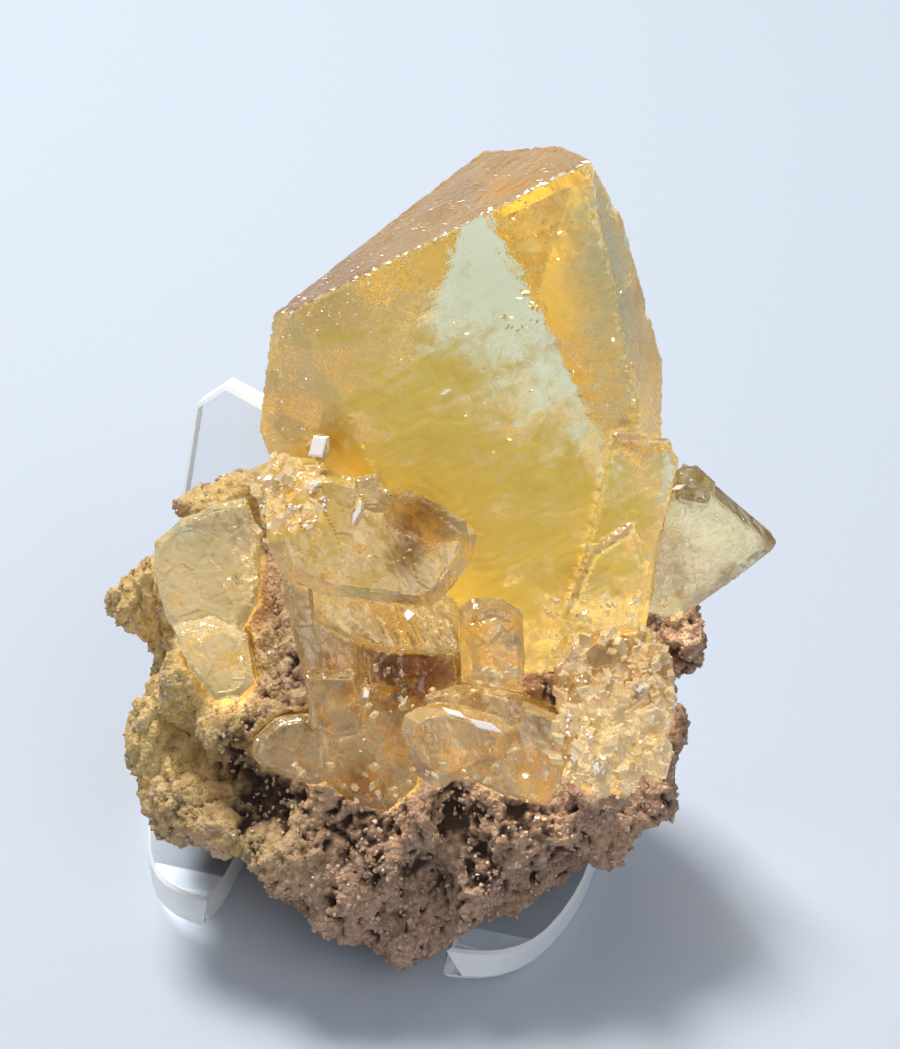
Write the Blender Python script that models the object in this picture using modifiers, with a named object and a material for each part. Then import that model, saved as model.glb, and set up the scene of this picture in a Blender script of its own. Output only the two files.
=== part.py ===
"""A golden barite specimen on its porous matrix, resting on a clear acrylic easel.

The crystals and the matrix are laid out as an eye sees them that looks down on the
front: u runs to the right, v up and w towards the eye, all in millimetres. The easel
is a flat sheet with two feet and a slot, bent up into a leaning back.
Origin: the middle of the easel's flat underside. +Z is up and -Y is the front.
"""
import math
import random

import bmesh
import bpy
import numpy as np
from mathutils import Euler, Matrix, Vector, noise

MM = 0.001

# The eye that the crystals' corners are laid out for
EYE_TILT = math.radians(40)
EYE_DISTANCE = 260.0
EYE_CENTRE_HEIGHT = 38.5

# The easel: a bent acrylic sheet, turned a little to the left
SHEET = 3.0
EASEL_CENTRE = (-6.1, 1.3)
EASEL_TURN = math.radians(-15)
SEAT_HALF_WIDTH = 24.0
PANEL_HALF_WIDTH = 28.4
TOP_HALF_WIDTH = 25.9
TOE_FRONT = -26.5
FOOT_REACH = (12.0, 19.0)
SLOT_HALF_WIDTH = 12.0
SLOT_MOUTH_HALF_WIDTH = 12.75
SLOT_END = -7.0
SLOT_RADIUS = 6.0
PANEL_WIDEST = 24.0
PANEL_SHOULDER = 42.8
PANEL_HORN = (22.6, 45.7)
PANEL_DIP = ((17.0, 43.4), (9.0, 41.6), (0.0, 41.0))
BEND_START = 4.5
BEND_RADIUS = 5.5
BEND_TURN = math.radians(78)
TOE_START = -19.0
TOE_RADIUS = 12.0
EDGE_BREAK = 0.35

# Clearance between pieces that touch
GAP = 0.3

# The matrix: voxel size it is fused at, noise and final fineness
FUSE_VOXEL = 1.0
ROUGHNESS = 1.1
KEPT_SHARE = 0.26
SEED = 7


def clear_scene():
    """Remove every object that the scene starts with."""
    for old in list(bpy.data.objects):
        bpy.data.objects.remove(old, do_unlink=True)


def new_collection(name):
    """A collection linked to the scene."""
    group = bpy.data.collections.new(name)
    bpy.context.scene.collection.children.link(group)
    return group


def new_material(name, colour, roughness, transmission=0.0, ior=1.5):
    """A Principled material with one colour."""
    material = bpy.data.materials.new(name)
    material.use_nodes = True
    shader = material.node_tree.nodes["Principled BSDF"]
    shader.inputs["Base Color"].default_value = (*colour, 1.0)
    shader.inputs["Roughness"].default_value = roughness
    shader.inputs["Metallic"].default_value = 0.0
    shader.inputs["Transmission Weight"].default_value = transmission
    shader.inputs["IOR"].default_value = ior
    return material


def ground(x, y, z):
    """A point given over the ground, moved to the easel's centre, in metres."""
    return Vector((x - EASEL_CENTRE[0], y - EASEL_CENTRE[1], z)) * MM


def seen(u, v, w, near=None):
    """A point as the eye sees it: u right and v up at true scale on w = 0."""
    near = 1 - w / EYE_DISTANCE if near is None else near
    y = v * near * math.sin(EYE_TILT) - w * math.cos(EYE_TILT)
    z = v * near * math.cos(EYE_TILT) + w * math.sin(EYE_TILT) + EYE_CENTRE_HEIGHT
    return ground(u * near, y, z)


def object_from_form(name, form, group):
    """An object in the group that holds a bmesh's form."""
    mesh = bpy.data.meshes.new(name)
    form.to_mesh(mesh)
    form.free()
    made = bpy.data.objects.new(name, mesh)
    group.objects.link(made)
    return made


def settle(made):
    """Apply all of an object's modifiers."""
    depsgraph = bpy.context.evaluated_depsgraph_get()
    mesh = bpy.data.meshes.new_from_object(made.evaluated_get(depsgraph))
    made.modifiers.clear()
    made.data = mesh


def combine(target, tool, operation):
    """Join a tool to a target, or cut the target with it."""
    step = target.modifiers.new(operation.lower(), "BOOLEAN")
    step.operation = operation
    step.object = tool
    step.solver = "EXACT"
    settle(target)


def hull_form(corners):
    """The convex solid on its corners, with flat faces merged."""
    form = bmesh.new()
    for corner in corners:
        form.verts.new(corner)
    found = bmesh.ops.convex_hull(form, input=form.verts)
    inside = [item for item in found["geom_interior"] if isinstance(item, bmesh.types.BMVert)]
    bmesh.ops.delete(form, geom=inside, context="VERTS")
    bmesh.ops.dissolve_limit(form, angle_limit=math.radians(0.6), verts=form.verts[:],
                             edges=form.edges[:])
    bmesh.ops.recalc_face_normals(form, faces=form.faces[:])
    return form


def grown(corners, gap):
    """The corners of a convex solid with every face moved out by the gap."""
    form = hull_form(corners)
    moved = []
    for vert in form.verts:
        normals = np.array([face.normal[:] for face in vert.link_faces])
        shift = np.linalg.lstsq(normals, np.full(len(normals), gap * MM), rcond=None)[0]
        moved.append(vert.co + Vector(shift))
    form.free()
    return moved


def plate(outline, depth, slope=(0.0, 0.0), thick=6.0, bevel=1.2, drop=1.2, taper=0.9):
    """Corners of a tabular crystal: a bevelled front face, a rim and a smaller back."""
    centre_u = sum(u for u, v in outline) / len(outline)
    centre_v = sum(v for u, v in outline) / len(outline)
    reach = sum(math.hypot(u - centre_u, v - centre_v) for u, v in outline) / len(outline)
    near = 1 - depth / EYE_DISTANCE
    corners = []
    for scale, lower in ((1 - bevel / reach, 0.0), (1.0, drop), (taper, thick)):
        for u, v in outline:
            du = (u - centre_u) * scale
            dv = (v - centre_v) * scale
            w = depth + slope[0] * du + slope[1] * dv - lower
            corners.append(seen(centre_u + du, centre_v + dv, w, near))
    return corners


def shard(u, v, w, sizes, turn):
    """Corners of a small rhombic crystal plate with bevelled edges."""
    rhomb = ((1.0, 0.2), (0.3, 1.0), (-1.0, -0.2), (-0.3, -1.0))
    rotation = Euler([math.radians(angle) for angle in turn]).to_matrix()
    corners = []
    for scale, level in ((0.72, 1.0), (1.0, 0.25), (0.72, -1.0)):
        for along, across in rhomb:
            local = Vector((along * sizes[0] * scale, across * sizes[1] * scale, level * sizes[2]))
            corners.append(seen(u, v, w) + rotation @ local * MM)
    return corners


def side(a, b, c):
    """A flat face through three seen points, as a point and a direction."""
    first, second, third = seen(*a), seen(*b), seen(*c)
    return first, (second - first).cross(third - first).normalized()


def solid_between(faces, inside, reach=90.0):
    """Corners of the solid that lies inside all the faces, around an inner point."""
    heart = seen(*inside)
    form = bmesh.new()
    bmesh.ops.create_cube(form, size=reach * MM, matrix=Matrix.Translation(heart))
    for point, direction in faces:
        outward = direction if (point - heart).dot(direction) > 0 else -direction
        whole = form.verts[:] + form.edges[:] + form.faces[:]
        found = bmesh.ops.bisect_plane(form, geom=whole, dist=1e-7, plane_co=point,
                                       plane_no=outward, clear_outer=True)
        rim = [item for item in found["geom_cut"] if isinstance(item, bmesh.types.BMEdge)]
        if rim:
            bmesh.ops.contextual_create(form, geom=rim)
    corners = [vert.co.copy() for vert in form.verts]
    form.free()
    return corners


def keep_largest(form):
    """Delete every loose body of a form but the largest."""
    left = set(form.verts)
    bodies = []
    while left:
        stack = [left.pop()]
        body = set(stack)
        while stack:
            for edge in stack.pop().link_edges:
                for vert in edge.verts:
                    if vert in left:
                        left.remove(vert)
                        body.add(vert)
                        stack.append(vert)
        bodies.append(body)
    bodies.sort(key=len)
    for body in bodies[:-1]:
        bmesh.ops.delete(form, geom=list(body), context="VERTS")


def clean(made):
    """Weld a cut mesh, drop its slivers and keep its one body."""
    form = bmesh.new()
    form.from_mesh(made.data)
    bmesh.ops.remove_doubles(form, verts=form.verts[:], dist=2e-6)
    bmesh.ops.dissolve_degenerate(form, edges=form.edges[:], dist=2e-6)
    bmesh.ops.triangulate(form, faces=form.faces[:])
    keep_largest(form)
    bmesh.ops.recalc_face_normals(form, faces=form.faces[:])
    form.to_mesh(made.data)
    form.free()


def crystal_group(name, solids, parts, tools, material, chips=()):
    """Crystals grown together: their solids joined in one piece, less their chips."""
    made = object_from_form(name, hull_form(solids[0]), parts)
    for number, corners in enumerate(solids[1:]):
        combine(made, cutter(f"{name}_grown_{number}", corners, tools), "UNION")
    for number, corners in enumerate(chips):
        combine(made, cutter(f"{name}_chip_{number}", corners, tools), "DIFFERENCE")
    made.data.materials.clear()
    made.data.materials.append(material)
    return made


def cutter(name, corners, tools):
    """A convex cutting solid, shown as wire."""
    made = object_from_form(name, hull_form(corners), tools)
    made.hide_render = True
    made.display_type = "WIRE"
    return made


def main_crystal_solids():
    """The large wedge-shaped crystal and the lower blade grown on its right."""
    ridge_left, ridge_right = (-16.0, 21.4, 15.2), (14.2, 36.6, 18.7)
    outer_left, outer_top = (-16.0, 22.0, 12.0), (5.2, 39.0, -1.0)
    faces = [
        side(ridge_left, ridge_right, (5.0, -12.0, 7.5)),
        side(ridge_left, ridge_right, outer_top),
        side(ridge_left, (-6.5, 3.5, 11.0), (-19.3, 10.2, 5.0)),
        side(ridge_right, (9.6, 38.8, 8.0), (15.2, 33.0, 12.0)),
        side((13.9, 35.5, 18.4), (18.4, 14.0, 13.4), (20.9, 18.0, 8.0)),
        side((15.2, 33.0, 12.0), (20.9, 18.0, 8.0), (13.0, 14.0, -5.6)),
        side(outer_left, outer_top, (-13.0, 8.0, -6.0)),
        side((-19.3, 10.2, 5.0), (-16.0, 21.4, 10.0), (-15.0, 6.0, -4.0)),
        side(outer_top, (6.0, 10.0, -8.5), (13.0, 14.0, -5.6)),
        side((-19.3, 9.8, 5.0), (-15.5, 0.0, 2.0), (-16.5, 6.0, -6.0)),
        side((-10.0, -14.0, 6.0), (10.0, -14.5, 6.0), (0.0, -5.0, -9.0)),
        side((21.4, 10.0, 9.0), (19.5, -6.0, 6.0), (17.0, 4.0, -6.0)),
    ]
    body = solid_between(faces, (2.0, 15.0, 5.0))
    blade_outline = [(16.4, 9.0), (19.6, 8.0), (21.9, 8.6), (23.0, 6.4), (22.2, 3.2),
                     (20.4, 0.0), (19.6, -4.0), (18.7, -9.5), (14.0, -11.0), (12.0, -9.0),
                     (13.2, -5.2), (14.8, -0.5), (16.2, 4.4)]
    blade = plate(blade_outline, 11.6, (-0.12, 0.22), 7.0, 0.4, 0.4, 0.95)
    lower_outline = [(14.2, -2.5), (18.4, 0.2), (20.0, -5.0), (18.6, -10.6), (13.6, -11.6),
                     (11.4, -9.4)]
    lower = plate(lower_outline, 11.9, (0.1, 0.18), 6.0, 0.8, 0.7, 0.9)
    return [body, blade, lower]


def main_crystal_chips():
    """Small breaks down the right edge and the dull scar beside the lower blade."""
    breaks = [(15.9, 31.4, 14.0), (17.2, 28.0, 11.0), (18.5, 24.8, 13.0), (19.9, 21.6, 9.5),
              (20.9, 18.4, 11.5), (21.7, 14.2, 9.0), (-16.4, 21.6, 15.0), (9.6, 39.3, 5.0)]
    picker = random.Random(SEED)
    chips = []
    for u, v, w in breaks:
        turn = [picker.uniform(-60, 60) for _ in range(3)]
        chips.append(shard(u, v, w, (1.3, 0.8, 0.9), turn))
    chips.append(shard(18.0, 8.6, 14.4, (1.9, 1.0, 1.1), (-30, 10, 12)))
    return chips


def right_wedge_solids():
    """The clear wedge that points out to the right."""
    outline = [(21.8, 3.6), (23.4, 6.2), (24.8, 5.6), (27.4, 3.4), (29.9, 1.1), (32.4, -0.7),
               (33.1, -1.8), (32.6, -2.6), (28.9, -5.5), (25.4, -7.8), (22.8, -9.6),
               (19.0, -8.8), (18.4, -5.0), (19.4, -1.4)]
    wedge = plate(outline, 8.0, (-0.12, 0.1), 8.0, 1.7, 1.9, 0.82)
    crest = plate([(22.6, 5.6), (24.8, 6.0), (26.8, 4.2), (25.6, 2.2), (22.6, 2.6)],
                  8.6, (-0.1, -0.3), 5.0, 0.5, 0.6)
    return [wedge, crest]


def left_solids():
    """Two pale plates half sunk in the left of the matrix."""
    upper = plate([(-29.8, -1.7), (-27.0, 0.5), (-23.6, 2.1), (-20.4, 2.7), (-18.9, -2.0),
                   (-19.3, -8.0), (-22.0, -12.4), (-26.4, -12.0), (-28.5, -9.6), (-29.7, -5.0)],
                  4.8, (0.16, -0.06), 8.0, 0.8, 0.7)
    lower = plate([(-28.0, -10.4), (-24.0, -9.2), (-20.4, -11.0), (-19.5, -15.8),
                   (-21.0, -17.3), (-23.5, -17.7), (-26.2, -14.6)],
                  6.6, (0.14, -0.1), 8.0, 0.8, 0.8)
    return [upper, lower]


def front_blade_solids():
    """The fan of overlapping blades in front of the large crystal, at its left foot."""
    upper = plate([(-18.5, 2.0), (-16.4, 4.9), (-12.6, 5.6), (-7.1, 3.9), (-1.9, 1.6),
                   (1.5, 0.5), (2.8, -0.9), (2.3, -3.6), (-0.4, -7.1), (-1.9, -8.3),
                   (-7.1, -7.5), (-12.9, -7.0), (-16.9, -4.9), (-18.5, -1.8)],
                  15.6, (-0.04, -0.16), 8.0, 1.5, 1.4, 0.92)
    second = plate([(-14.1, -4.6), (-13.6, -9.4), (-11.2, -11.0), (-6.5, -12.9), (-1.5, -13.1),
                    (1.0, -12.7), (0.8, -8.0), (-3.0, -4.8), (-9.0, -3.8)],
                   12.8, (-0.02, -0.14), 7.0, 0.9, 0.9, 0.92)
    shoulder = plate([(-19.8, 5.6), (-17.2, 7.0), (-12.8, 6.6), (-10.8, 3.2), (-12.4, -1.0),
                      (-18.6, -0.4)], 13.4, (0.05, -0.25), 9.0, 1.0, 1.0, 0.92)
    crown = plate([(-9.4, 4.8), (-7.4, 5.2), (-6.5, 3.4), (-7.0, 1.4), (-9.8, 1.6)],
                  15.9, (0.1, -0.1), 6.0, 0.5, 0.5)
    band = plate([(-7.0, 3.6), (-3.9, 3.4), (-1.6, 1.4), (1.7, 0.4), (1.9, -2.6), (-3.4, -1.6),
                  (-6.4, 0.4)], 16.0, (-0.06, 0.22), 5.0, 0.4, 0.5)
    solids = [upper, second, shoulder, crown, band]
    solids.append(plate([(-14.6, 7.9), (-13.2, 9.2), (-12.0, 8.8), (-11.9, 7.2), (-13.1, 6.2)],
                        14.3, (0.1, -0.1), 6.0, 0.3, 0.3))
    solids.append(shard(-4.0, -8.9, 15.6, (0.9, 0.85, 1.1), (40, 5, 20)))
    solids.append(shard(-13.6, 3.6, 16.4, (1.3, 0.8, 1.2), (25, -15, 30)))
    solids.append(shard(-9.2, 1.2, 16.6, (0.7, 1.5, 1.0), (20, 10, 15)))
    solids.append(shard(-16.6, 4.4, 15.0, (1.1, 1.6, 1.3), (35, 20, -25)))
    solids.append(shard(-18.2, 3.2, 12.6, (1.3, 1.1, 1.8), (15, -30, 10)))
    for number in range(6):
        top_u = -8.9 + 1.45 * number
        foot_u = -6.4 + 1.25 * number
        rib = [(top_u, -7.4), (top_u + 0.8, -7.2), (foot_u + 0.9, -12.5), (foot_u + 0.3, -12.9)]
        solids.append(plate(rib, 13.5 - 0.08 * number, (0.25, -0.12), 3.5, 0.15, 0.3, 1.0))
    return solids


def stub_solids():
    """The short pale prism that stands in the middle."""
    outline = [(0.9, -8.3), (2.2, -7.3), (5.2, -7.4), (7.3, -8.7), (7.6, -13.4), (7.3, -17.0),
               (3.9, -16.5), (1.1, -15.8)]
    cap = plate([(1.4, -7.9), (4.9, -7.7), (5.4, -10.6), (3.8, -12.2), (1.2, -10.2)],
                15.0, (0.05, -0.5), 4.0, 0.5, 0.5)
    return [plate(outline, 14.6, (-0.1, 0.1), 8.0, 1.3, 1.4, 0.85), cap]


def lower_left_solids():
    """The smooth peach-coloured crystals under the front blades."""
    tall = plate([(-17.0, -4.4), (-9.6, -6.9), (-8.8, -12.0), (-8.7, -17.4), (-11.4, -19.0),
                  (-14.2, -17.0), (-16.1, -10.0)], 11.2, (-0.12, 0.06), 10.0, 1.2, 1.2, 0.85)
    foot = plate([(-14.6, -14.8), (-9.6, -14.7), (-8.5, -18.4), (-9.0, -20.9), (-11.5, -21.6),
                  (-14.0, -20.4)], 12.1, (-0.05, 0.2), 9.0, 0.6, 0.7, 0.9)
    lowest = plate([(-19.6, -21.4), (-19.9, -23.2), (-18.9, -24.6), (-13.7, -26.1),
                    (-10.4, -25.4), (-10.5, -21.2), (-14.0, -18.9), (-17.5, -19.4)],
                   9.4, (0.02, 0.12), 9.0, 1.0, 1.0, 0.9)
    broad = plate([(-13.3, -20.8), (-13.0, -25.5), (-10.5, -27.6), (-6.5, -29.0), (-3.4, -26.4),
                   (-2.4, -22.0), (-3.4, -17.5), (-7.0, -15.8), (-10.5, -16.8)],
                  10.6, (0.05, 0.1), 10.0, 1.1, 1.2, 0.9)
    recess = plate([(-9.3, -10.8), (0.8, -11.2), (1.4, -16.8), (-1.5, -19.0), (-6.0, -19.4),
                    (-8.9, -17.5)], 9.2, (0.0, -0.02), 8.0, 0.8, 0.8, 0.95)
    solids = [tall, foot, lowest, broad, recess]
    solids.append(shard(-8.4, -17.2, 12.2, (1.1, 0.8, 1.0), (30, 0, 30)))
    solids.append(shard(-4.7, -16.6, 11.4, (1.9, 1.0, 1.2), (20, -20, 25)))
    return solids


def lower_right_solids():
    """The rounded prism in front and the blocks behind and beside it."""
    prism = plate([(-5.0, -20.8), (-4.6, -19.1), (-3.2, -18.4), (-0.8, -18.0), (2.0, -18.5),
                   (5.2, -19.6), (6.4, -20.9), (5.7, -23.6), (2.2, -25.3), (-1.4, -26.6),
                   (-3.2, -25.4)], 14.2, (-0.05, 0.04), 9.0, 1.5, 1.6, 0.9)
    behind = plate([(-2.6, -17.2), (0.8, -16.1), (4.0, -16.4), (7.4, -17.1), (8.4, -20.6),
                    (6.5, -24.0), (0.0, -23.0)], 11.9, (0.02, -0.04), 8.0, 0.9, 0.9, 0.92)
    block = plate([(7.2, -17.8), (9.6, -18.6), (12.2, -20.0), (12.7, -23.3), (10.6, -25.2),
                   (7.0, -24.8), (6.2, -20.5)], 12.5, (-0.08, 0.04), 8.0, 0.9, 1.0, 0.92)
    lower = plate([(1.8, -22.8), (8.5, -21.6), (12.0, -23.0), (10.8, -26.8), (9.6, -28.3),
                   (5.0, -27.0), (2.0, -25.6)], 12.4, (0.0, 0.06), 8.0, 0.9, 0.9, 0.92)
    return [prism, behind, block, lower]


def druse_solids():
    """A crust of small crystals to the right of the blocks."""
    base = plate([(10.4, -14.0), (13.6, -10.4), (19.5, -9.8), (22.6, -13.5), (22.8, -20.0),
                  (20.4, -24.4), (15.5, -27.2), (11.6, -25.2), (10.6, -19.0)],
                 8.4, (-0.22, 0.02), 3.5, 0.4, 1.2, 0.9)
    solids = [base]
    placed = [(12.6, -23.6, 2.2), (14.6, -24.6, 2.3), (16.4, -22.6, 2.1), (14.0, -21.8, 1.7),
              (18.8, -16.6, 1.7), (20.0, -19.6, 1.5), (20.6, -23.6, 1.6), (17.2, -18.4, 1.4),
              (20.8, -17.0, 1.3), (15.4, -12.6, 1.6), (18.0, -11.6, 1.5), (12.2, -20.0, 1.8),
              (20.4, -13.2, 1.5), (12.8, -16.4, 1.6), (15.2, -16.0, 1.3), (18.4, -20.9, 1.3),
              (17.8, -25.2, 1.5), (15.6, -19.6, 1.4)]
    picker = random.Random(SEED)
    for u, v, size in placed:
        turn = (picker.uniform(-20, 70), picker.uniform(-35, 35), picker.uniform(0, 180))
        depth = 8.5 - 0.22 * (u - 16.5) + 0.5 * size
        solids.append(shard(u, v, depth, (size, 0.85 * size, size), turn))
    return solids


def sheet_outline(grow):
    """The right half of the easel's flat sheet, from the slot's end to the top's middle."""
    slot_arc = SLOT_RADIUS - grow
    corner_u = SLOT_HALF_WIDTH - SLOT_RADIUS
    corner_s = SLOT_END - SLOT_RADIUS
    points = [(0.0, SLOT_END - grow)]
    for step in range(7):
        angle = math.radians(90 - 15 * step)
        points.append((corner_u + slot_arc * math.cos(angle), corner_s + slot_arc * math.sin(angle)))
    points.append((SLOT_MOUTH_HALF_WIDTH - grow, TOE_FRONT - grow))
    foot_u = SEAT_HALF_WIDTH - FOOT_REACH[0]
    foot_s = TOE_FRONT + FOOT_REACH[1]
    for step in range(1, 11):
        angle = math.radians(-86 + 86 * step / 10)
        out = (FOOT_REACH[0] + grow) * math.cos(angle)
        points.append((foot_u + out, foot_s + (FOOT_REACH[1] + grow) * math.sin(angle)))
    points.append((PANEL_HALF_WIDTH + grow, PANEL_WIDEST))
    points.append((TOP_HALF_WIDTH + grow, PANEL_SHOULDER + grow))
    points.append((PANEL_HORN[0] + grow, PANEL_HORN[1] + grow))
    points += [(u, s + grow) for u, s in PANEL_DIP]
    return points


def flat_sheet(name, grow, group):
    """The easel's sheet before it is bent, as a mesh object."""
    half = sheet_outline(grow)
    outline = half + [(-u, s) for u, s in reversed(half[1:-1])]
    curve = bpy.data.curves.new(name, "CURVE")
    curve.dimensions = "2D"
    curve.fill_mode = "BOTH"
    curve.extrude = (SHEET / 2 + grow) * MM
    spline = curve.splines.new("POLY")
    spline.points.add(len(outline) - 1)
    for point, (u, s) in zip(spline.points, outline):
        point.co = (u * MM, s * MM, 0.0, 1.0)
    spline.use_cyclic_u = True
    drawn = bpy.data.objects.new(name + "_outline", curve)
    group.objects.link(drawn)
    depsgraph = bpy.context.evaluated_depsgraph_get()
    mesh = bpy.data.meshes.new_from_object(drawn.evaluated_get(depsgraph))
    bpy.data.objects.remove(drawn, do_unlink=True)
    form = bmesh.new()
    form.from_mesh(mesh)
    bmesh.ops.remove_doubles(form, verts=form.verts[:], dist=1e-6)
    bmesh.ops.dissolve_limit(form, angle_limit=math.radians(1), verts=form.verts[:],
                             edges=form.edges[:])
    bmesh.ops.recalc_face_normals(form, faces=form.faces[:])
    if grow == 0.0:
        rims = [edge for edge in form.edges if edge.calc_face_angle(0) > math.radians(60)]
        rims = [edge for edge in rims if abs(edge.verts[0].co.z - edge.verts[1].co.z) < 1e-6]
        bmesh.ops.bevel(form, geom=rims, offset=EDGE_BREAK * MM, segments=1, affect="EDGES")
    return form


def bent_point(point):
    """Where a point of the flat sheet lies once toes and back are bent up."""
    u, s, t = point.x / MM, point.y / MM, point.z / MM
    middle = SHEET / 2
    if s < TOE_START:
        angle = (TOE_START - s) / TOE_RADIUS
        y = TOE_START - (TOE_RADIUS - t) * math.sin(angle)
        z = middle + TOE_RADIUS - (TOE_RADIUS - t) * math.cos(angle)
    elif s > BEND_START:
        angle = min((s - BEND_START) / BEND_RADIUS, BEND_TURN)
        straight = max(s - BEND_START - BEND_RADIUS * BEND_TURN, 0.0)
        y = BEND_START + (BEND_RADIUS - t) * math.sin(angle) + straight * math.cos(angle)
        z = middle + BEND_RADIUS - (BEND_RADIUS - t) * math.cos(angle) + straight * math.sin(angle)
    else:
        y = s
        z = middle + t
    return Vector((u, y, z)) * MM


def easel(name, grow, group):
    """The easel: its flat sheet bent along two lines and turned on the ground."""
    form = flat_sheet(name, grow, group)
    bend_end = BEND_START + BEND_RADIUS * BEND_TURN
    lines = [BEND_START + (bend_end - BEND_START) * step / 8 for step in range(9)]
    lines += [TOE_START + (TOE_FRONT - grow - TOE_START) * step / 5 for step in range(5)]
    for line in lines:
        whole = form.verts[:] + form.edges[:] + form.faces[:]
        bmesh.ops.bisect_plane(form, geom=whole, dist=1e-7, plane_co=(0, line * MM, 0),
                               plane_no=(0, 1, 0))
    bmesh.ops.triangulate(form, faces=form.faces[:])
    turn = Matrix.Rotation(EASEL_TURN, 4, "Z")
    for vert in form.verts:
        vert.co = turn @ bent_point(vert.co)
    return object_from_form(name, form, group)


def matrix_core():
    """Corners of the matrix's main mass, low to high, over the ground."""
    levels = {
        4.6: [(-5, -27.0), (-11, -25.6), (0, -26.0), (5, -20.6), (11.4, -16.6), (14.5, -9),
              (9.4, 1.0), (-4.8, 5.6), (-18.0, 8.0), (-22, -4), (-21, -10), (-18, -15)],
        9.0: [(18.6, -15.8), (-25.2, -15.8), (-30.0, -8.0), (19.0, -2.0)],
        14.0: [(-31.8, -11.0), (22.8, -12.0), (13.5, 5.8), (-3.5, 10.4), (-20.5, 14.6),
               (-30.0, 2.0)],
        21.0: [(-6, -24.6), (-14, -22.6), (6, -23.0), (13, -19.5), (-31.6, -9.4), (23.6, -8)],
        25.0: [(23.8, -3.0), (15.5, 7.4), (-2.9, 12.6), (-21.5, 17.4), (-30.0, 4.0)],
        28.0: [(-17, -18.0), (-2, -19.0), (12, -16.5), (20, -10.0), (-26, -9.0)],
        32.5: [(-12, -12.0), (4, -12.0), (16, -8.5), (-27.0, 2.0), (18.5, 0.5)],
        36.0: [(-20.5, 5.5), (-8, 2.0), (4, 0.0), (14.5, 1.5), (-15.5, 16.0), (-2.3, 13.2),
               (11.0, 8.5)],
    }
    return [ground(x, y, z) for z, ring in levels.items() for x, y in ring]


# Lumps of the matrix as seen: place (u, v, w) and half sizes along u, v and w
LUMPS = (
    ((5.0, -31.5, 6.2), (1.5, 5.2, 2.4)),
    ((1.8, -36.0, 4.2), (2.8, 5.0, 2.8)),
    ((8.4, -31.5, 5.6), (1.6, 4.4, 2.2)),
    ((11.8, -30.5, 4.8), (1.7, 3.8, 2.2)),
    ((15.6, -31.0, 2.6), (3.4, 3.4, 3.0)),
    ((-4.6, -40.5, 1.0), (3.8, 4.0, 3.2)),
    ((-10.4, -37.4, 3.2), (3.8, 4.6, 3.2)),
    ((-16.4, -33.0, 4.6), (3.6, 4.8, 3.0)),
    ((-6.4, -33.4, 6.4), (2.4, 4.2, 2.4)),
    ((-2.0, -29.6, 8.2), (1.8, 3.4, 2.2)),
    ((20.4, -27.0, 0.8), (2.8, 3.6, 3.2)),
    ((22.2, -20.4, 2.6), (2.2, 3.6, 3.0)),
    ((23.6, -12.0, 0.8), (2.4, 3.2, 3.4)),
    ((15.0, -27.4, 7.0), (3.6, 2.2, 2.2)),
    ((-31.2, -7.9, -7.0), (3.5, 3.6, 4.0)),
    ((-28.4, -6.0, -5.0), (3.4, 3.6, 4.0)),
    ((-29.6, -20.4, -1.4), (2.9, 5.6, 4.6)),
    ((-27.0, -27.6, -0.6), (4.2, 4.4, 4.2)),
    ((-22.0, -30.4, 1.8), (3.8, 3.0, 4.2)),
    ((-24.4, 1.8, -4.6), (4.4, 1.6, 4.6)),
    ((-20.6, 3.9, -5.4), (3.4, 1.2, 4.6)),
    ((-26.6, -15.0, 2.4), (2.6, 3.6, 3.4)),
    ((-22.8, -21.4, 4.6), (3.2, 2.8, 3.2)),
    ((22.6, -7.4, 1.4), (2.4, 1.8, 3.4)),
)

# Hollows of the matrix as seen: place (u, v, w), reach and depth
HOLLOWS = (
    ((-19.4, -27.0, 7.4), 3.6, 4.2),
    ((-23.0, -24.6, 5.0), 2.4, 2.4),
    ((-20.2, -7.6, 8.2), 2.0, 3.0),
    ((0.8, -30.2, 8.8), 2.2, 3.2),
    ((3.2, -33.6, 7.2), 1.5, 2.0),
    ((-7.4, -30.6, 9.0), 2.6, 3.4),
    ((-12.4, -30.4, 8.2), 2.4, 2.8),
    ((10.2, -27.8, 8.4), 1.8, 2.2),
    ((-31.0, -14.2, -3.0), 2.4, 2.6),
    ((21.8, -19.6, 5.4), 1.4, 2.0),
    ((-1.6, -35.6, 5.4), 1.8, 2.2),
    ((17.4, -29.0, 6.0), 1.5, 1.6),
)


def seen_axes():
    """The eye's right, up and forward directions over the ground."""
    up = Vector((0, math.sin(EYE_TILT), math.cos(EYE_TILT)))
    towards = Vector((0, -math.cos(EYE_TILT), math.sin(EYE_TILT)))
    return Matrix((Vector((1, 0, 0)), up, towards)).transposed()


def fused_matrix(parts):
    """The main mass and its lumps, fused into one skin."""
    form = hull_form(matrix_core())
    axes = seen_axes().to_4x4()
    for place, sizes in LUMPS:
        scale = Matrix.Diagonal((*[size * MM for size in sizes], 1.0))
        lump = Matrix.Translation(seen(*place)) @ axes @ scale
        bmesh.ops.create_icosphere(form, subdivisions=3, radius=1.0, matrix=lump)
    made = object_from_form("matrix", form, parts)
    fuse(made)
    return made


def fuse(made):
    """Turn a mesh into one even skin around all that it holds."""
    step = made.modifiers.new("fuse", "REMESH")
    step.mode = "VOXEL"
    step.voxel_size = FUSE_VOXEL * MM
    settle(made)


def rough_height(spot):
    """How far the skin stands out at a spot in millimetres: coarse knobs and fine ones."""
    coarse = noise.fractal(spot * 0.16, 0.9, 2.1, 3)
    fine = abs(noise.noise(spot * 0.55)) + 0.5 * abs(noise.noise(spot * 1.1))
    return ROUGHNESS * (0.5 * coarse + 0.9 * fine - 0.45)


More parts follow.
